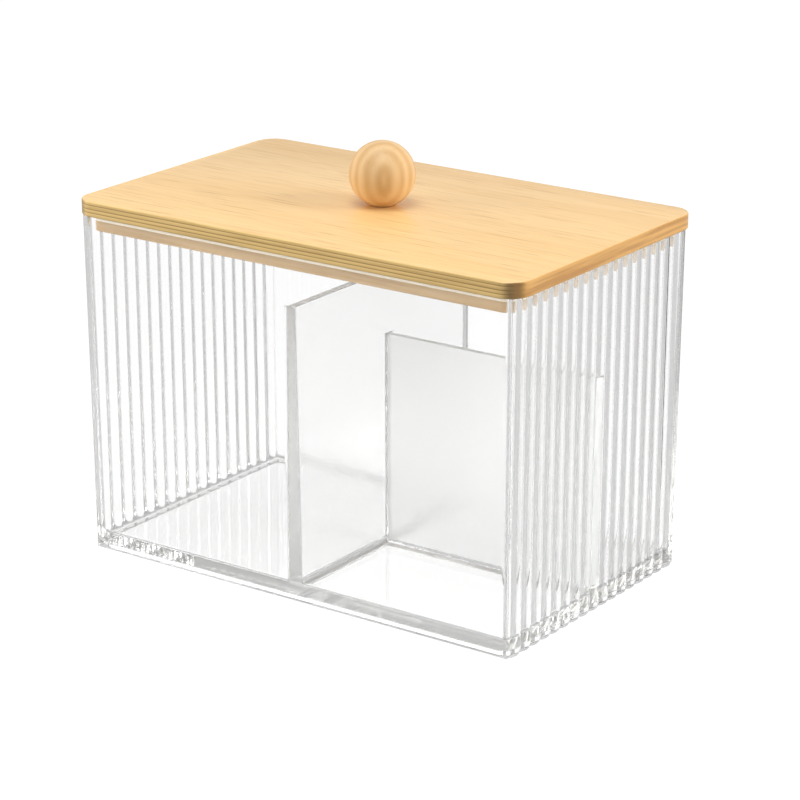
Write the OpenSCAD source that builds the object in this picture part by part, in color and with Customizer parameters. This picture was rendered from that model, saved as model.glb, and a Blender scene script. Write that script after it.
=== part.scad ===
// Clear moulded box with reeded ends and three compartments, under a lift-off bamboo lid with a ball knob
// Origin at the middle of the footprint, on the table. +X runs along the length, -Y is the front, +Z is up.

/* [Box] */
// Length of the box over the reeds, at the rim
box_length = 178; // [120:1:260]
// Depth of the box from front to back, at the rim
box_depth = 107; // [70:1:160]
// Height of the box from the table to the rim
box_height = 122; // [90:1:180]
// How far each outer face leans in between the rim and the table
draft_run = 0.95; // [0.4:0.05:1.5]
// Thickness of the front and back walls
face_wall = 2.5; // [1.8:0.1:4]
// Thickness of the end walls between the reeds
end_wall = 2.2; // [1.6:0.1:5]
// Thickness of the floor
floor_thickness = 3.5; // [2:0.1:7]
// Height of the hollow under the floor
foot_recess = 1.7; // [1:0.1:5]
// Width of the standing rim round that hollow
foot_rim = 3; // [2:0.1:6]
// Radius where the inside faces run into the floor
foot_fillet = 2; // [0.5:0.1:3]

/* [Reeds] */
// Distance from one reed to the next
reed_pitch = 6; // [4:0.05:9]
// How far a reed stands out from the valleys beside it
reed_rise = 0.95; // [0.4:0.05:1.5]
// Least width of the flat strip between the reeds and a corner
corner_flat = 1.2; // [0.5:0.1:4]

/* [Dividers] */
// Drop from the rim to the top of the long divider
centre_drop = 18; // [12:0.5:50]
// Thickness of the long divider at its top
centre_top_thickness = 3; // [2:0.1:4]
// Thickness of the long divider just above its fillets
centre_foot_thickness = 5.2; // [4:0.1:7]
// Place of the long divider along the length, from the middle
centre_x = 0; // [-20:0.5:20]
// Drop from the rim to the top of the short divider
cross_drop = 40; // [20:0.5:60]
// Thickness of the short divider at its top
cross_top_thickness = 2.4; // [1.8:0.1:3.5]
// Thickness of the short divider just above its fillets
cross_foot_thickness = 4.2; // [3.5:0.1:6]
// Place of the short divider along the depth, from the middle
cross_y = 2; // [-15:0.5:15]
// Width of the fine line that the mould leaves above the long divider
seam_width = 0.6; // [0.3:0.1:1.5]
// How far that line stands out from the wall
seam_rise = 0.15; // [0.1:0.05:0.4]

/* [Lid] */
// How far the lid board reaches past the reeds at each end
lid_reach_x = 2; // [0.5:0.25:6]
// How far the lid board reaches past the front and the back
lid_reach_y = 1.75; // [0.5:0.25:6]
// Thickness of the board above the rim
board_thickness = 5.5; // [4:0.1:9]
// Corner radius of the board
board_corner = 8; // [4:0.5:15]
// Depth of the step that drops into the box
plug_depth = 5.7; // [3:0.1:8]
// Gap between that step and the walls of the box
plug_play = 0.4; // [0.2:0.1:2]
// Corner radius of the step
plug_corner = 3; // [2:0.5:12]

/* [Knob] */
// Diameter of the turned ball
knob_diameter = 22.8; // [20:0.2:35]
// Diameter of the flat that it stands on
knob_flat = 8; // [6:0.5:14]

/* [Screw] */
// Length of the screw with its head
screw_length = 18; // [15:0.5:20]
// Diameter of the shank
screw_shank = 3; // [2:0.1:4]
// Diameter of the countersunk head
screw_head = 6; // [5.2:0.1:8]
// Width of each slot of the cross in the head
drive_slot = 0.9; // [0.5:0.1:1.2]
// Length of each slot of that cross
drive_reach = 3.4; // [2:0.1:4]
// Depth of that cross
drive_depth = 1.1; // [0.5:0.1:1.4]
// Gap all round the screw in the lid and in the knob
screw_play = 0.15; // [0.1:0.05:0.4]

/* [Hidden] */

// Amount by which a cut runs past the face that it opens
over = 1;
// Amount by which a solid sinks into the one that it grows out of
sink = 0.5;
// Flats that make up a fillet's quarter round
fillet_steps = 8;

// Reeds: as many as fit, and a circle through two valleys and a crest gives the reed's radius
valley_x = box_length / 2 - reed_rise;
reed_count = floor((box_depth - 2 * (draft_run + corner_flat)) / reed_pitch);
reed_radius = (reed_pitch * reed_pitch / 4 + reed_rise * reed_rise) / (2 * reed_rise);
reed_centre = box_length / 2 - reed_radius;

// Inside half sizes at the rim, and the floor's upper face
inner_x = valley_x - end_wall;
inner_y = box_depth / 2 - face_wall;
floor_top = foot_recess + floor_thickness;
centre_top = box_height - centre_drop;
cross_top = box_height - cross_drop;

// The lid, the knob and the screw stack up from the rim
board_top = box_height + board_thickness;
plug_foot = box_height - plug_depth;
knob_radius = knob_diameter / 2;
knob_centre = board_top + sqrt(knob_radius * knob_radius - knob_flat * knob_flat / 4);
head_height = (screw_head - screw_shank) / 2;
tip_height = screw_shank;
screw_tip = plug_foot + screw_length;

// How far a face has come in at a height, from where it stands at the rim
function lean(z) = draft_run * (box_height - z) / box_height;

// Quarter round from one angle to another
function round_points(x, z, from, to) = [
    for (i = [0:fillet_steps])
        let (a = from + (to - from) * i / fillet_steps)
            [x + foot_fillet * cos(a), z + foot_fillet * sin(a)]
];

// Distance along the floor from a leaning face to where its fillet ends
function fillet_reach(angle) = foot_fillet * (1 - sin(angle)) / cos(angle);

// The same points on the other side of the middle plane, in the order that closes an outline
function mirrored(points) = [for (i = [len(points) - 1:-1:0]) [-points[i][0], points[i][1]]];

// Right half of the hollow's outline, from the floor up past the rim
function hollow_side(half) =
    let (angle = atan(draft_run / box_height),
         foot = half - lean(floor_top) - fillet_reach(angle))
        concat(round_points(foot, floor_top + foot_fillet, 270, 360 - angle),
               [[half - lean(box_height + over), box_height + over]]);

// Right half of a divider's outline, from its top down into the floor
function divider_side(top_thickness, foot_thickness, top) =
    let (angle = atan((foot_thickness - top_thickness) / 2 / (top - floor_top)),
         foot = foot_thickness / 2 + fillet_reach(angle))
        concat([[top_thickness / 2, top]],
               round_points(foot, floor_top + foot_fillet, 180 + angle, 270),
               [[foot, floor_top - sink]]);

// An outline drawn in X and Z, carried along Y from one place to another
module along_y(from, to) {
    translate([0, to, 0]) rotate([90, 0, 0]) linear_extrude(height = to - from) children();
}

// An outline drawn in Y and Z, carried along X from one place to another
module along_x(from, to) {
    translate([from, 0, 0]) rotate([90, 0, 90]) linear_extrude(height = to - from) children();
}

// Plan of a board with four round corners
module round_plan(length, depth, radius) {
    square([length - 2 * radius, depth], center = true);
    square([length, depth - 2 * radius], center = true);
    for (x = [-1, 1], y = [-1, 1])
        translate([x * (length / 2 - radius), y * (depth / 2 - radius)]) circle(r = radius, $fn = 96);
}

// Right half of the solid block, with its reeded end leaning as the mould needs
module reeded_half() {
    lean_angle = atan(draft_run / box_height);
    translate([0, 0, box_height]) rotate([0, lean_angle, 0])
        translate([0, 0, -box_height - over * 3]) linear_extrude(height = box_height + over * 6) {
            translate([-over, -box_depth / 2 - over])
                square([valley_x - sink / 4 + over, box_depth + over * 2]);
            for (i = [0:reed_count - 1])
                translate([reed_centre, (i + 0.5 - reed_count / 2) * reed_pitch])
                    circle(r = reed_radius, $fn = 96);
        }
}

// Block between the leaning front and back faces, the table and the rim
module face_block() {
    low_y = box_depth / 2 - draft_run;
    along_x(-box_length / 2 - over, box_length / 2 + over)
        polygon([[-low_y, 0], [low_y, 0], [box_depth / 2, box_height], [-box_depth / 2, box_height]]);
}

// Space inside the walls
module hollow() {
    side_x = hollow_side(inner_x);
    side_y = hollow_side(inner_y);
    intersection() {
        along_y(-box_depth, box_depth) polygon(concat(side_x, mirrored(side_x)));
        along_x(-box_length, box_length) polygon(concat(side_y, mirrored(side_y)));
    }
}

// Shallow hollow under the floor, inside the standing rim
module foot_hollow() {
    half_x = valley_x - draft_run - foot_rim;
    half_y = box_depth / 2 - draft_run - foot_rim;
    translate([-half_x, -half_y, -over]) cube([half_x * 2, half_y * 2, foot_recess + over]);
}

// Long divider, from the middle of the front wall to the middle of the back wall
module centre_divider() {
    end = box_depth / 2 - (face_wall + draft_run) / 2;
    side = divider_side(centre_top_thickness, centre_foot_thickness, centre_top);
    translate([centre_x, 0, 0]) along_y(-end, end) polygon(concat(side, mirrored(side)));
}

// Short divider, from the long one to the middle of the right end wall
module cross_divider() {
    end = valley_x - (end_wall + draft_run) / 2;
    side = divider_side(cross_top_thickness, cross_foot_thickness, cross_top);
    translate([0, cross_y, 0]) along_x(centre_x, end) polygon(concat(side, mirrored(side)));
}

// Fine upright line on the inside of the front and back walls, from the long divider to the rim
module mould_seam() {
    low = centre_top - sink;
    for (side = [-1, 1])
        along_x(centre_x - seam_width / 2, centre_x + seam_width / 2)
            polygon([for (p = [[-seam_rise, low], [sink, low], [sink, box_height], [-seam_rise, box_height]])
                [side * (inner_y - lean(p[1]) + p[0]), p[1]]]);
}

module box() {
    color("aliceblue", 0.5) {
        difference() {
            intersection() {
                union() {
                    reeded_half();
                    mirror([1, 0, 0]) reeded_half();
                }
                face_block();
            }
            hollow();
            foot_hollow();
        }
        centre_divider();
        cross_divider();
        mould_seam();
    }
}

module lid() {
    plug_x = inner_x - lean(plug_foot) - plug_play;
    plug_y = inner_y - lean(plug_foot) - seam_rise - plug_play;
    color("burlywood") difference() {
        union() {
            translate([0, 0, box_height]) linear_extrude(height = board_thickness)
                round_plan(box_length + lid_reach_x * 2, box_depth + lid_reach_y * 2, board_corner);
            translate([0, 0, plug_foot]) linear_extrude(height = plug_depth + board_thickness / 2)
                round_plan(plug_x * 2, plug_y * 2, plug_corner);
        }
        translate([0, 0, plug_foot - over])
            cylinder(d = screw_shank + screw_play * 2, h = plug_depth + board_thickness + over * 2, $fn = 64);
        translate([0, 0, plug_foot])
            cylinder(d1 = screw_head + screw_play * 2, d2 = screw_shank + screw_play * 2,
                     h = head_height, $fn = 64);
        translate([0, 0, plug_foot - over])
            cylinder(d = screw_head + screw_play * 2, h = over, $fn = 64);
    }
}

module knob() {
    color("peachpuff") difference() {
        intersection() {
            translate([0, 0, knob_centre]) sphere(d = knob_diameter, $fn = 128);
            translate([-knob_radius, -knob_radius, board_top]) cube(knob_diameter);
        }
        translate([0, 0, board_top - over])
            cylinder(d = screw_shank + screw_play * 2, h = screw_tip + screw_play - board_top + over, $fn = 64);
    }
}

module knob_screw() {
    color("silver") difference() {
        union() {
            translate([0, 0, plug_foot]) cylinder(d1 = screw_head, d2 = screw_shank, h = head_height, $fn = 64);
            translate([0, 0, plug_foot + head_height])
                cylinder(d = screw_shank, h = screw_length - head_height - tip_height, $fn = 64);
            translate([0, 0, screw_tip - tip_height]) cylinder(d1 = screw_shank, d2 = 0.4, h = tip_height, $fn = 64);
        }
        for (turn = [0, 90])
            rotate([0, 0, turn]) translate([-drive_reach / 2, -drive_slot / 2, plug_foot - over])
                cube([drive_reach, drive_slot, drive_depth + over]);
    }
}

box();
lid();
knob();
knob_screw();
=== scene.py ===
import math

import bmesh
import bpy
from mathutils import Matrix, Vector


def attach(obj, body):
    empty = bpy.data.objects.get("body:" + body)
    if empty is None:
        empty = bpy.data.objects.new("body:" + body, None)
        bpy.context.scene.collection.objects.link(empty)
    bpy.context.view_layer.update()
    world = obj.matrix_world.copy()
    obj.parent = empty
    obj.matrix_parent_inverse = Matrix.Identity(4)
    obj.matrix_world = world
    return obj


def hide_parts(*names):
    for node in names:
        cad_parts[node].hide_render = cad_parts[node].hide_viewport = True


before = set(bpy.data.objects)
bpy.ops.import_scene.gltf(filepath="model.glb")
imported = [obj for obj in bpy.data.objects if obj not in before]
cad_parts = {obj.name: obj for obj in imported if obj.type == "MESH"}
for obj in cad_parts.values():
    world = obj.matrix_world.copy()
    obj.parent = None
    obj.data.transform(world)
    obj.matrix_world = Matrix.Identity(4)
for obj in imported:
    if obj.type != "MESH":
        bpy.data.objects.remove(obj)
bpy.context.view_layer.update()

MM = 0.001

# Camera: azimuth and elevation in degrees, and its distance and place in metres
CAMERA_AZIMUTH = 35.4
CAMERA_ELEVATION = 18.6
CAMERA_DISTANCE = 1.0435
CAMERA_LENS = 135.5
AIM_HEIGHT = 0.060
AIM_RIGHT = 0.0060
AIM_UP = -0.0025

# Box, in millimetres, as in the CAD model
BOX_LENGTH = 178.0
BOX_DEPTH = 107.0
BOX_HEIGHT = 122.0
DRAFT = 0.95
FACE_WALL = 2.5
END_WALL = 2.2
FLOOR_LOW = 1.7
FLOOR_TOP = 5.2
FOOT_RIM = 3.0
FOOT_FILLET = 2.0
REED_COUNT = 17
REED_RISE = 0.95
REED_PITCH = 6.0
REED_RADIUS = (REED_PITCH ** 2 / 4 + REED_RISE ** 2) / (2 * REED_RISE)
VALLEY_X = BOX_LENGTH / 2 - REED_RISE
FLAT_SINK = 0.125
FLAT_X = VALLEY_X - FLAT_SINK
INNER_X = VALLEY_X - END_WALL
INNER_Y = BOX_DEPTH / 2 - FACE_WALL
CENTRE_TOP = 104.0
CENTRE_THICKNESS = (3.0, 5.2)
CROSS_TOP = 82.0
CROSS_THICKNESS = (2.4, 4.2)
CROSS_Y = 2.0
SEAM_WIDTH = 0.6
SEAM_RISE = 0.15

# Lid, in millimetres
BOARD_REACH = (2.0, 1.75)
BOARD_THICKNESS = 5.5
BOARD_CORNER = 8.0
PLUG_DEPTH = 5.7
PLUG_PLAY = 0.4
PLUG_CORNER = 3.0
SCREW_HOLE = 3.3
SCREW_HEAD = 6.3
SCREW_HEAD_HEIGHT = 1.5

# Bamboo: the strips across the board, and how far the near-white band painted on the plug reaches below the
# rim, in millimetres
STRIP_WIDTH = 20.5
PALE_BAND_DEPTH = 2.0

# Ball: the heart of its growth rings in metres, their spacing, and how much longer they are upright
HEART_X = 0.007
HEART_Y = -0.009
HEART_RISE = 0.0165
RING_SPACING = 0.0042
RING_SQUEEZE = 0.4

# Edges that the mould and the sander round off, in millimetres
MOULD_EDGE = 0.35
INSIDE_CORNER = 1.0
BOARD_EDGE = 0.5

# The dividers' fine-matt faces: where they start above the floor, how rough they are, and how milky
MATT_FROM = FLOOR_TOP + FOOT_FILLET
MATT_MARGIN = 0.1
SHORT_MATT = 0.3
SHORT_MILK = 0.24
LONG_MATT = 0.12
LONG_MILK = 0.05

# How much the floor glows to rays that see it, near the object and far away, and where these are, in metres
FLOOR_GLOW = 0.77
FAR_FLOOR_GLOW = 0.92
GLOW_NEAR = 0.3
GLOW_FAR = 1.8
FLOOR_GREY = 0.27

# How much darker floor and world are for rays that something reflected before, which greys the reeds
REFLECTED_DIM = 0.43

# Light from the room all round, and from its dimmer side, which the front corner faces
WORLD_LIGHT = 0.5
WORLD_DIM = 0.15
DIM_AZIMUTH = 30.0
DIM_ELEVATION = 5.0
DIM_SPREAD = 0.3

# Lamps: distance in metres, and how often light may bounce in the plastic
LAMP_DISTANCE = 1.4
BOUNCES = 40
CLEAR_BOUNCES = 24


class Nodes:
    """A material's or the world's node tree, with short calls to add nodes and join them."""

    def __init__(self, owner):
        owner.use_nodes = True
        self.tree = owner.node_tree
        self.tree.nodes.clear()

    def add(self, kind, settings=None, **inputs):
        node = self.tree.nodes.new(kind)
        for name, value in (settings or {}).items():
            setattr(node, name, value)
        for name, value in inputs.items():
            self.set(node, name.replace("_", " "), value)
        return node

    def set(self, node, name, value):
        socket = node.inputs[name] if not name.isdigit() else node.inputs[int(name)]
        if isinstance(value, bpy.types.NodeSocket):
            self.tree.links.new(value, socket)
        else:
            socket.default_value = value

    def math(self, operation, a, b=0.0, clamp=False):
        node = self.add("ShaderNodeMath", {"operation": operation, "use_clamp": clamp})
        self.set(node, "0", a)
        self.set(node, "1", b)
        return node.outputs[0]

    def fit(self, value, low, high, to_low=0.0, to_high=1.0):
        """value taken from the range low to high into another range, with soft ends."""
        node = self.add("ShaderNodeMapRange", {"interpolation_type": "SMOOTHSTEP"})
        for name, setting in zip("01234", (value, low, high, to_low, to_high)):
            self.set(node, name, setting)
        return node.outputs[0]

    def mix(self, factor, a, b, blend="MIX"):
        node = self.add("ShaderNodeMix", {"data_type": "RGBA", "blend_type": blend})
        self.set(node, "0", factor)
        self.set(node, "6", a)
        self.set(node, "7", b)
        return node.outputs[2]

    def ramp(self, factor, stops, interpolation="LINEAR"):
        node = self.add("ShaderNodeValToRGB")
        self.set(node, "0", factor)
        node.color_ramp.interpolation = interpolation
        elements = node.color_ramp.elements
        while len(elements) < len(stops):
            elements.new(0.5)
        for element, (place, colour) in zip(elements, stops):
            element.position = place
            element.color = colour
        return node.outputs[0]

    def stretched(self, vector, x, y, z):
        node = self.add("ShaderNodeMapping")
        self.set(node, "Vector", vector)
        node.inputs["Scale"].default_value = (x, y, z)
        return node.outputs[0]

    def noise(self, vector, scale, detail=3.0, roughness=0.5):
        node = self.add("ShaderNodeTexNoise", Scale=scale, Detail=detail, Roughness=roughness)
        self.set(node, "Vector", vector)
        return node.outputs[0]

    def finish(self, surface, volume=None):
        out = self.add("ShaderNodeOutputMaterial")
        self.set(out, "Surface", surface)
        if volume:
            self.set(out, "Volume", volume)


def rgb(red, green, blue):
    """A colour as the screen shows it, 0 to 255, as the linear colour that a shader takes."""
    linear = [c / 12.92 if c <= 0.04045 else ((c + 0.055) / 1.055) ** 2.4
              for c in (red / 255, green / 255, blue / 255)]
    return (*linear, 1.0)


# ---- meshes

def lean(z):
    """How far a moulded face has come in at a height, from where it stands at the rim."""
    return DRAFT * (BOX_HEIGHT - z) / BOX_HEIGHT


def loft(name, rings):
    """A closed solid through rings of as many points each, in millimetres."""
    bm = bmesh.new()
    made = [[bm.verts.new([c * MM for c in point]) for point in ring] for ring in rings]
    count = len(made[0])
    for low, high in zip(made, made[1:]):
        for i in range(count):
            j = (i + 1) % count
            bm.faces.new([low[i], low[j], high[j], high[i]])
    bm.faces.new(list(reversed(made[0])))
    bm.faces.new(made[-1])
    bmesh.ops.recalc_face_normals(bm, faces=bm.faces)
    mesh = bpy.data.meshes.new(name)
    bm.to_mesh(mesh)
    bm.free()
    piece = bpy.data.objects.new(name, mesh)
    bpy.context.collection.objects.link(piece)
    return piece


def rounded(x_low, x_high, y_low, y_high, radius, z, steps=6):
    """A rectangle with round corners at one height, counterclockwise from above."""
    points = []
    corners = [(x_high, y_high, 0), (x_low, y_high, 90), (x_low, y_low, 180), (x_high, y_low, 270)]
    for x, y, start in corners:
        cx = x + (radius if x == x_low else -radius)
        cy = y + (radius if y == y_low else -radius)
        for i in range(steps + 1):
            a = math.radians(start + 90 * i / steps)
            points.append((cx + radius * math.cos(a), cy + radius * math.sin(a), z))
    return points


def reeded_plan(z, steps=14):
    """The block's outline at one height: flat front and back, reeds between flat strips at both ends."""
    edge_y = BOX_DEPTH / 2 - lean(z)
    half = math.asin(REED_PITCH / 2 / REED_RADIUS)
    side = [(FLAT_X - lean(z), -edge_y, z)]
    for i in range(REED_COUNT):
        centre = (i + 0.5 - REED_COUNT / 2) * REED_PITCH
        for k in range(steps + (i == REED_COUNT - 1)):
            a = half * (2 * k / steps - 1)
            x = BOX_LENGTH / 2 - REED_RADIUS - lean(z) + REED_RADIUS * math.cos(a)
            side.append((x, centre + REED_RADIUS * math.sin(a), z))
    side.append((FLAT_X - lean(z), edge_y, z))
    return side + [(-x, y, z) for x, y, z in reversed(side)]


def half_at(thickness, top, z):
    """Half a divider's thickness at a height."""
    share = (top - z) / (top - FLOOR_TOP)
    return (thickness[0] + (thickness[1] - thickness[0]) * share) / 2


def pocket(name, sides, top, steps=8):
    """A space down to the floor, with a fillet all round. sides gives its four limits at a height."""
    rings = []
    for i in range(steps + 1):
        a = math.radians(90 * i / steps)
        z = FLOOR_TOP + FOOT_FILLET * (1 - math.cos(a))
        inset = FOOT_FILLET * (1 - math.sin(a))
        x_low, x_high, y_low, y_high = sides(z)
        rings.append(rounded(x_low + inset, x_high - inset, y_low + inset, y_high - inset, INSIDE_CORNER, z))
    rings.append(rounded(*sides(top), INSIDE_CORNER, top))
    return loft(name, rings)


def cut(piece, tool):
    change = piece.modifiers.new(tool.name, "BOOLEAN")
    change.operation = "DIFFERENCE"
    change.solver = "EXACT"
    change.object = tool
    apply(piece)
    bpy.data.objects.remove(tool)


def apply(piece):
    """Writes the modifiers into the mesh."""
    bpy.context.view_layer.update()
    result = piece.evaluated_get(bpy.context.evaluated_depsgraph_get())
    mesh = bpy.data.meshes.new_from_object(result)
    piece.modifiers.clear()
    piece.data = mesh


def eased(piece, width, angle=30, segments=2):
    """Rounds the piece's sharp edges, and shades it smooth with its broad faces flat."""
    flat = piece.modifiers.new("flat", "DECIMATE")
    flat.decimate_type = "DISSOLVE"
    flat.angle_limit = math.radians(0.2)
    edge = piece.modifiers.new("edge", "BEVEL")
    edge.width = width * MM
    edge.segments = segments
    edge.limit_method = "ANGLE"
    edge.angle_limit = math.radians(angle)
    edge.use_clamp_overlap = False
    apply(piece)
    piece.data.polygons.foreach_set("use_smooth", [True] * len(piece.data.polygons))
    weigh = piece.modifiers.new("weigh", "WEIGHTED_NORMAL")
    weigh.mode = "FACE_AREA"
    weigh.weight = 100
    apply(piece)


def stands_for(piece, node, material):
    piece.data.materials.append(material)
    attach(piece, "root")
    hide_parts(node)


def moulded_box():
    box = loft("moulded_box", [reeded_plan(0), reeded_plan(BOX_HEIGHT)])
    open_top = BOX_HEIGHT + 1

    def whole(z):
        x, y = INNER_X - lean(z), INNER_Y - lean(z)
        return -x, x, -y, y

    def left(z):
        x, y = INNER_X - lean(z), INNER_Y - lean(z)
        return -x, -half_at(CENTRE_THICKNESS, CENTRE_TOP, z), -y, y

    def right(z):
        x, y = INNER_X - lean(z), INNER_Y - lean(z)
        return half_at(CENTRE_THICKNESS, CENTRE_TOP, z), x, -y, y

    def front(z):
        x_low, x_high, y_low, y_high = right(z)
        return x_low, x_high, y_low, CROSS_Y - half_at(CROSS_THICKNESS, CROSS_TOP, z)

    def back(z):
        x_low, x_high, y_low, y_high = right(z)
        return x_low, x_high, CROSS_Y + half_at(CROSS_THICKNESS, CROSS_TOP, z), y_high

    def straight(name, plan, sides, low, high):
        return loft(name, [plan(*sides(z), INSIDE_CORNER, z) for z in (low, high)])

    cut(box, straight("over_dividers", seamed, whole, CENTRE_TOP, open_top))
    cut(box, straight("over_cross", rounded, right, CROSS_TOP, CENTRE_TOP))
    cut(box, pocket("left_pocket", left, CENTRE_TOP))
    cut(box, pocket("front_pocket", front, CROSS_TOP))
    cut(box, pocket("back_pocket", back, CROSS_TOP))
    foot_x = VALLEY_X - DRAFT - FOOT_RIM
    foot_y = BOX_DEPTH / 2 - DRAFT - FOOT_RIM
    cut(box, loft("foot_hollow", [rounded(-foot_x, foot_x, -foot_y, foot_y, 2, z) for z in (-1, FLOOR_LOW)]))
    eased(box, MOULD_EDGE)
    return box


def seamed(x_low, x_high, y_low, y_high, radius, z, steps=6):
    """The same round rectangle, with the mould's fine upright line in the middle of its front and back."""
    points = rounded(x_low, x_high, y_low, y_high, radius, z, steps)
    back = [(SEAM_WIDTH, y_high, z), (0, y_high - SEAM_RISE, z), (-SEAM_WIDTH, y_high, z)]
    front = [(-SEAM_WIDTH, y_low, z), (0, y_low + SEAM_RISE, z), (SEAM_WIDTH, y_low, z)]
    corner = steps + 1
    return points[:corner] + back + points[corner:3 * corner] + front + points[3 * corner:]


def bamboo_lid():
    half_x = BOX_LENGTH / 2 + BOARD_REACH[0]
    half_y = BOX_DEPTH / 2 + BOARD_REACH[1]
    foot = BOX_HEIGHT - PLUG_DEPTH
    plug_x = INNER_X - lean(foot) - PLUG_PLAY
    plug_y = INNER_Y - lean(foot) - SEAM_RISE - PLUG_PLAY
    top = BOX_HEIGHT + BOARD_THICKNESS

    def plan(x, y, radius, z):
        return rounded(-x, x, -y, y, radius, z, 16)

    lid = loft("bamboo_lid", [
        plan(plug_x, plug_y, PLUG_CORNER, foot),
        plan(plug_x, plug_y, PLUG_CORNER, BOX_HEIGHT),
        plan(half_x, half_y, BOARD_CORNER, BOX_HEIGHT),
        plan(half_x, half_y, BOARD_CORNER, top),
    ])
    eased(lid, BOARD_EDGE, 30, 3)
    cut(lid, screw_hole(foot, top))
    return lid


def screw_hole(foot, top, steps=48):
    def ring(diameter, z):
        radius = diameter / 2
        angles = [i * 2 * math.pi / steps for i in range(steps)]
        return [(radius * math.cos(a), radius * math.sin(a), z) for a in angles]

    return loft("screw_hole", [
        ring(SCREW_HEAD, foot - 1), ring(SCREW_HEAD, foot), ring(SCREW_HOLE, foot + SCREW_HEAD_HEIGHT),
        ring(SCREW_HOLE, top + 1),
    ])


# ---- materials

def clear_plastic():
    material = bpy.data.materials.new("clear_styrene")
    n = Nodes(material)
    place = n.add("ShaderNodeTexCoord").outputs["Object"]
    swirl = n.noise(n.stretched(place, 1.0, 1.0, 0.35), 38.0, 2.0)
    bump = n.add("ShaderNodeBump", Strength=0.04, Distance=0.0006)
    n.set(bump, "Height", swirl)
    haze = n.fit(n.noise(place, 90.0, 4.0), 0.35, 0.75, 0.0, 0.05)

    glass = n.add("ShaderNodeBsdfPrincipled", IOR=1.57)
    n.set(glass, "Base Color", (1.0, 1.0, 1.0, 1.0))
    n.set(glass, "Transmission Weight", 1.0)
    matt_x = CENTRE_THICKNESS[1] / 2 + MATT_MARGIN
    matt_y = CROSS_THICKNESS[1] / 2 + MATT_MARGIN
    short = inside(n, place, (matt_x, CROSS_Y - matt_y, MATT_FROM),
                   (INNER_X, CROSS_Y + matt_y, CROSS_TOP + MATT_MARGIN))
    long = inside(n, place, (-matt_x, -INNER_Y, MATT_FROM), (matt_x, INNER_Y, CENTRE_TOP + MATT_MARGIN))
    matt = n.math("ADD", n.math("MULTIPLY", short, SHORT_MATT), n.math("MULTIPLY", long, LONG_MATT))
    milk = n.math("ADD", n.math("MULTIPLY", short, SHORT_MILK), n.math("MULTIPLY", long, LONG_MILK))
    n.set(glass, "Roughness", n.math("ADD", haze, matt))
    n.set(glass, "Normal", bump.outputs[0])
    clear = n.add("ShaderNodeBsdfTransparent", Color=(0.97, 0.975, 0.975, 1))
    shadow = n.add("ShaderNodeLightPath").outputs["Is Shadow Ray"]
    milky = n.add("ShaderNodeBsdfTranslucent", Color=(0.8, 0.8, 0.79, 1))
    body = n.add("ShaderNodeMixShader")
    n.set(body, "0", milk)
    n.set(body, "1", glass.outputs[0])
    n.set(body, "2", milky.outputs[0])
    mix = n.add("ShaderNodeMixShader")
    n.set(mix, "0", shadow)
    n.set(mix, "1", body.outputs[0])
    n.set(mix, "2", clear.outputs[0])
    absorb = n.add("ShaderNodeVolumeAbsorption", Color=(0.55, 0.55, 0.5, 1.0), Density=3.0)
    n.finish(mix.outputs[0], absorb.outputs[0])
    return material


def inside(n, place, low, high):
    """1 where a place lies between two corners, given in millimetres, and 0 elsewhere."""
    mask = 1.0
    for axis, least, most in zip(n.add("ShaderNodeSeparateXYZ", Vector=place).outputs, low, high):
        mask = n.math("MULTIPLY", mask, n.math("GREATER_THAN", axis, least * MM))
        mask = n.math("MULTIPLY", mask, n.math("LESS_THAN", axis, most * MM))
    return mask


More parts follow.
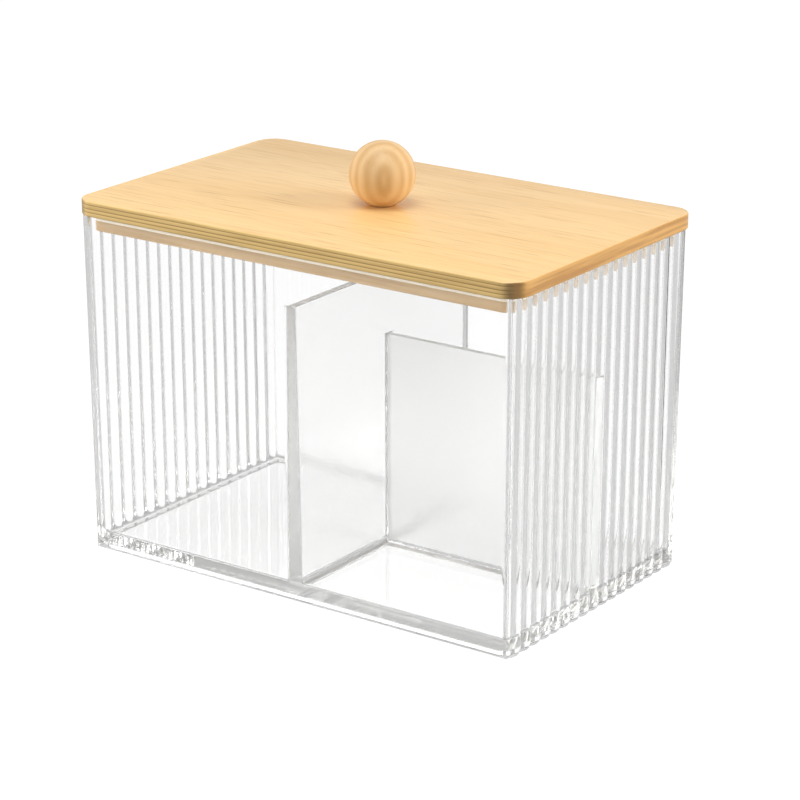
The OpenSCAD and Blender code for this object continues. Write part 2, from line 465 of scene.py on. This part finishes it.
def bamboo():
    material = bpy.data.materials.new("bamboo_board")
    n = Nodes(material)
    coords = n.add("ShaderNodeTexCoord")
    place = coords.outputs["Object"]
    along, across, up = n.add("ShaderNodeSeparateXYZ", Vector=place).outputs
    fibres = n.noise(n.stretched(place, 22.0, 620.0, 620.0), 1.0, 4.0, 0.6)
    dashes = n.noise(n.stretched(place, 45.0, 1300.0, 1300.0), 1.0, 2.0)
    streaks = n.noise(n.stretched(place, 5.0, 90.0, 90.0), 1.0, 3.0)

    strip = n.math("FLOOR", n.math("DIVIDE", across, STRIP_WIDTH * MM))
    tone = n.add("ShaderNodeTexWhiteNoise", {"noise_dimensions": "1D"})
    n.set(tone, "W", strip)
    top = n.mix(n.fit(streaks, 0.3, 0.75), rgb(241, 198, 132), rgb(248, 209, 146))
    top = n.mix(n.math("MULTIPLY", tone.outputs[0], 0.15), top, rgb(238, 190, 128))
    top = n.mix(n.fit(fibres, 0.5, 0.8, 0.0, 0.42), top, rgb(214, 162, 100))
    top = n.mix(n.fit(dashes, 0.58, 0.7, 0.0, 0.5), top, rgb(196, 142, 84))

    wobble = n.math("MULTIPLY", n.math("SUBTRACT", streaks, 0.5), 0.09)
    above_rim = n.math("SUBTRACT", up, BOX_HEIGHT * MM)
    layer = n.math("ADD", n.math("DIVIDE", above_rim, BOARD_THICKNESS * MM), wobble)
    pale, straw, dark = rgb(247, 211, 139), rgb(229, 191, 118), rgb(155, 118, 57)
    plies = n.ramp(layer, [
        (0.0, dark), (0.06, straw), (0.26, pale),
        (0.30, dark), (0.34, straw), (0.48, pale),
        (0.53, dark), (0.58, straw), (0.74, pale),
        (0.79, dark), (0.83, straw), (1.0, pale),
    ])
    plies = n.mix(n.fit(fibres, 0.45, 0.75, 0.0, 0.4), plies, rgb(160, 124, 66))
    grain = n.noise(n.stretched(place, 300.0, 25.0, 700.0), 1.0, 4.0)
    end_grain = n.mix(n.fit(grain, 0.35, 0.65), rgb(198, 142, 74), rgb(232, 178, 102))
    # The plug below the rim: its core wood has its own paler, pinkish tone, and it is painted lighter still
    # to make up for the shade that the board's overhang casts on it.
    core_and_painted_light = n.mix(n.fit(fibres, 0.35, 0.75), rgb(200, 168, 122), rgb(180, 146, 99))

    facing = n.add("ShaderNodeSeparateXYZ", Vector=coords.outputs["Normal"])
    to_end, to_front = [n.math("ABSOLUTE", facing.outputs[i]) for i in (0, 1)]
    # Painted shade: the board's round corners, which face half front and half end, are darkened towards
    # rgb(128, 92, 44), as if the dim side of the room shaded them.
    corner_painted_shade = n.fit(n.math("MINIMUM", to_end, to_front), 0.2, 0.6, 0.0, 0.75)
    colour = n.mix(n.fit(to_front, 0.45, 0.8), top, plies)
    colour = n.mix(n.fit(to_end, 0.5, 0.85), colour, end_grain)
    colour = n.mix(corner_painted_shade, colour, rgb(128, 92, 44))
    in_box = n.math("LESS_THAN", up, (BOX_HEIGHT - 0.1) * MM)
    core_and_painted_light = n.mix(n.fit(to_end, 0.5, 0.85, 0.0, 0.6), core_and_painted_light, rgb(206, 198, 186))
    colour = n.mix(in_box, colour, core_and_painted_light)
    # A near-white band painted along the plug's top, just below the rim.
    pale_band = n.math("MULTIPLY", in_box, n.math("GREATER_THAN", up, (BOX_HEIGHT - PALE_BAND_DEPTH) * MM))
    colour = n.mix(pale_band, colour, rgb(255, 244, 222))

    bump = n.add("ShaderNodeBump", Strength=0.2, Distance=0.0002)
    n.set(bump, "Height", fibres)
    wood = n.add("ShaderNodeBsdfPrincipled", IOR=1.5)
    n.set(wood, "Base Color", colour)
    n.set(wood, "Roughness", n.fit(fibres, 0.3, 0.8, 0.42, 0.55))
    n.set(wood, "Normal", bump.outputs[0])
    wood.inputs["Coat Weight"].default_value = 0.5
    wood.inputs["Coat Roughness"].default_value = 0.2
    n.finish(wood.outputs[0])
    return material


def turned_wood():
    material = bpy.data.materials.new("turned_ball")
    n = Nodes(material)
    place = n.add("ShaderNodeTexCoord").outputs["Object"]
    warp = n.noise(n.stretched(place, 60.0, 60.0, 25.0), 1.0, 2.0)
    x, y, z = n.add("ShaderNodeSeparateXYZ", Vector=place).outputs
    heart = (HEART_X, HEART_Y, BOX_HEIGHT * MM + HEART_RISE)
    gaps = [n.math("MULTIPLY", n.math("SUBTRACT", axis, middle), squeeze)
            for axis, middle, squeeze in zip((x, y, z), heart, (1.0, 1.0, RING_SQUEEZE))]
    squares = [n.math("MULTIPLY", gap, gap) for gap in gaps]
    radius = n.math("SQRT", n.math("ADD", n.math("ADD", squares[0], squares[1]), squares[2]))
    rings = n.math("ADD", n.math("DIVIDE", radius, RING_SPACING), n.math("MULTIPLY", warp, 1.6))
    wave = n.math("SINE", n.math("MULTIPLY", rings, 2 * math.pi))
    rings = n.math("ADD", n.math("MULTIPLY", wave, 0.5), 0.5)
    colour = n.mix(rings, rgb(231, 194, 142), rgb(217, 175, 119))
    lines = n.noise(n.stretched(place, 900.0, 900.0, 60.0), 1.0, 3.0)
    colour = n.mix(n.fit(lines, 0.5, 0.8, 0.0, 0.22), colour, rgb(196, 144, 92))
    bump = n.add("ShaderNodeBump", Strength=0.1, Distance=0.0001)
    n.set(bump, "Height", lines)
    wood = n.add("ShaderNodeBsdfPrincipled", IOR=1.5)
    n.set(wood, "Base Color", colour)
    n.set(wood, "Roughness", n.fit(lines, 0.3, 0.8, 0.45, 0.55))
    n.set(wood, "Normal", bump.outputs[0])
    wood.inputs["Coat Weight"].default_value = 0.3
    wood.inputs["Coat Roughness"].default_value = 0.4
    n.finish(wood.outputs[0])
    return material


def zinc():
    material = bpy.data.materials.new("zinc_screw")
    n = Nodes(material)
    place = n.add("ShaderNodeTexCoord").outputs["Object"]
    spots = n.noise(place, 900.0, 3.0)
    metal = n.add("ShaderNodeBsdfPrincipled", Metallic=1.0)
    n.set(metal, "Base Color", n.mix(n.fit(spots, 0.3, 0.7), rgb(176, 178, 182), rgb(206, 208, 210)))
    n.set(metal, "Roughness", n.fit(spots, 0.3, 0.7, 0.25, 0.4))
    n.finish(metal.outputs[0])
    return material


def dress(node, material):
    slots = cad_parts[node].data.materials
    slots.clear()
    slots.append(material)


# ---- studio

def seen_directly(n):
    """1 for rays from the camera, a mirror or clear plastic, and 0 for the light that falls on things."""
    path = n.add("ShaderNodeLightPath")
    seen = n.math("MAXIMUM", path.outputs["Is Camera Ray"], path.outputs["Is Glossy Ray"])
    return n.math("MAXIMUM", seen, path.outputs["Is Transmission Ray"])


def reflected(n):
    """1 for rays that something has reflected on their way, inside the plastic too."""
    return n.math("MINIMUM", n.add("ShaderNodeLightPath").outputs["Glossy Depth"], 1.0)


def studio_floor():
    bpy.ops.mesh.primitive_plane_add(size=8.0)
    floor = bpy.context.object
    floor.name = "studio_floor"
    material = bpy.data.materials.new("floor_white")
    n = Nodes(material)
    diffuse = n.add("ShaderNodeBsdfDiffuse", Color=(FLOOR_GREY, FLOOR_GREY, FLOOR_GREY, 1))
    glow = n.add("ShaderNodeEmission", Color=(1, 1, 1, 1))
    place = n.add("ShaderNodeTexCoord").outputs["Object"]
    away = n.add("ShaderNodeVectorMath", {"operation": "LENGTH"})
    n.set(away, "0", place)
    glowing = n.fit(away.outputs["Value"], GLOW_NEAR, GLOW_FAR, FLOOR_GLOW, FAR_FLOOR_GLOW)
    strength = n.math("MULTIPLY", seen_directly(n), glowing)
    strength = n.math("SUBTRACT", strength, n.math("MULTIPLY", reflected(n), REFLECTED_DIM), clamp=True)
    n.set(glow, "Strength", strength)
    both = n.add("ShaderNodeAddShader")
    n.set(both, "0", diffuse.outputs[0])
    n.set(both, "1", glow.outputs[0])
    n.finish(both.outputs[0])
    floor.data.materials.append(material)


def studio_world():
    world = bpy.data.worlds.new("studio")
    bpy.context.scene.world = world
    n = Nodes(world)
    light = n.add("ShaderNodeBackground", Color=(1, 1, 1, 1))
    towards = n.add("ShaderNodeVectorMath", {"operation": "DOT_PRODUCT"})
    n.set(towards, "0", n.add("ShaderNodeTexCoord").outputs["Generated"])
    towards.inputs[1].default_value = direction(DIM_AZIMUTH, DIM_ELEVATION)
    n.set(light, "Strength", n.fit(towards.outputs["Value"], DIM_SPREAD, 1.0, WORLD_LIGHT, WORLD_DIM))
    white = n.add("ShaderNodeBackground", Color=(1, 1, 1, 1), Strength=1.0)
    n.set(white, "Strength", n.math("SUBTRACT", 1.0, n.math("MULTIPLY", reflected(n), REFLECTED_DIM)))
    mix = n.add("ShaderNodeMixShader")
    n.set(mix, "0", seen_directly(n))
    n.set(mix, "1", light.outputs[0])
    n.set(mix, "2", white.outputs[0])
    out = n.add("ShaderNodeOutputWorld")
    n.set(out, "Surface", mix.outputs[0])


def softbox(name, azimuth, elevation, width, height, power, in_gloss=True):
    """A rectangular lamp that looks at the object from a direction given as the camera's is.

    The side lamps stay out of reflections, because at a grazing angle they turn the lid white.
    """
    data = bpy.data.lights.new(name, "AREA")
    data.shape = "RECTANGLE"
    data.size, data.size_y = width, height
    data.energy = power
    lamp = bpy.data.objects.new(name, data)
    bpy.context.collection.objects.link(lamp)
    back = direction(azimuth, elevation)
    lamp.location = Vector((0, 0, AIM_HEIGHT)) + back * LAMP_DISTANCE
    lamp.rotation_mode = "QUATERNION"
    lamp.rotation_quaternion = (-back).to_track_quat("-Z", "Y")
    lamp.visible_glossy = in_gloss


def direction(azimuth, elevation):
    a, e = math.radians(azimuth), math.radians(elevation)
    return Vector((math.sin(a) * math.cos(e), -math.cos(a) * math.cos(e), math.sin(e)))


def place_camera():
    data = bpy.data.cameras.new("camera")
    data.sensor_width = 36.0
    data.lens = CAMERA_LENS
    data.clip_start, data.clip_end = 0.05, 50.0
    camera = bpy.data.objects.new("camera", data)
    bpy.context.collection.objects.link(camera)
    back = direction(CAMERA_AZIMUTH, CAMERA_ELEVATION)
    right = Vector((math.cos(math.radians(CAMERA_AZIMUTH)), math.sin(math.radians(CAMERA_AZIMUTH)), 0))
    up = back.cross(right)
    camera.location = Vector((0, 0, AIM_HEIGHT)) + right * AIM_RIGHT + up * AIM_UP + back * CAMERA_DISTANCE
    camera.rotation_mode = "QUATERNION"
    camera.rotation_quaternion = (-back).to_track_quat("-Z", "Y")
    bpy.context.scene.camera = camera


place_camera()
stands_for(moulded_box(), "box", clear_plastic())
stands_for(bamboo_lid(), "lid", bamboo())
dress("knob", turned_wood())
dress("knob_screw", zinc())

studio_floor()
studio_world()
softbox("top_softbox", 0, 80, 0.8, 0.8, 8.8)
softbox("left_softbox", -48, 15, 0.6, 1.0, 12.2, in_gloss=False)
softbox("right_softbox", 112, 20, 0.5, 1.0, 14, in_gloss=False)

scene = bpy.context.scene
scene.view_settings.view_transform = "Standard"
scene.cycles.max_bounces = BOUNCES
scene.cycles.transmission_bounces = BOUNCES
scene.cycles.glossy_bounces = BOUNCES
scene.cycles.transparent_max_bounces = CLEAR_BOUNCES
